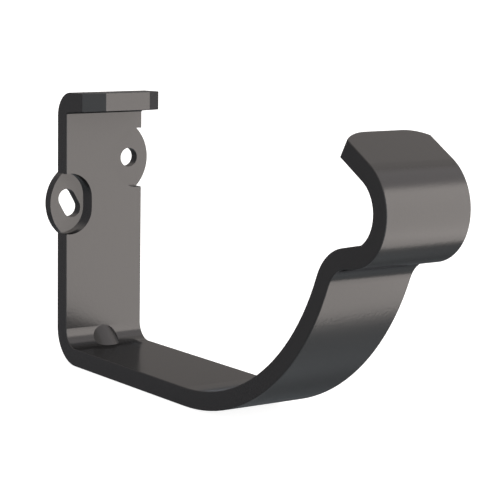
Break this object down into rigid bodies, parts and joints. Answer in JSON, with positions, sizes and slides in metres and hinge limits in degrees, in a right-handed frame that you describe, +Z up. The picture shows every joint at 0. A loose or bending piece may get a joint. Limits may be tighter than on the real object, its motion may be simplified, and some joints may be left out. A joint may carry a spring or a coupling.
{
  "type": "gutter bracket",
  "caption": "Cast metal strap bracket that screws to a fascia board and cradles a half-round gutter, with a lip at the back and a hook for the front bead.",
  "frame": {"origin": "centre of the round fixing hole, on the pads' back face, which lies against the fascia board", "axes": "+X out of the fascia board towards the front bead, +Y along the board, +Z up"},
  "size_m": [0.1509, 0.0322, 0.078],
  "materials": {
    "bracket": "satin dark anthracite powder coat"
  },
  "bodies": {
    "root": {"bracket": "bracket"}
  },
  "joints": []
}
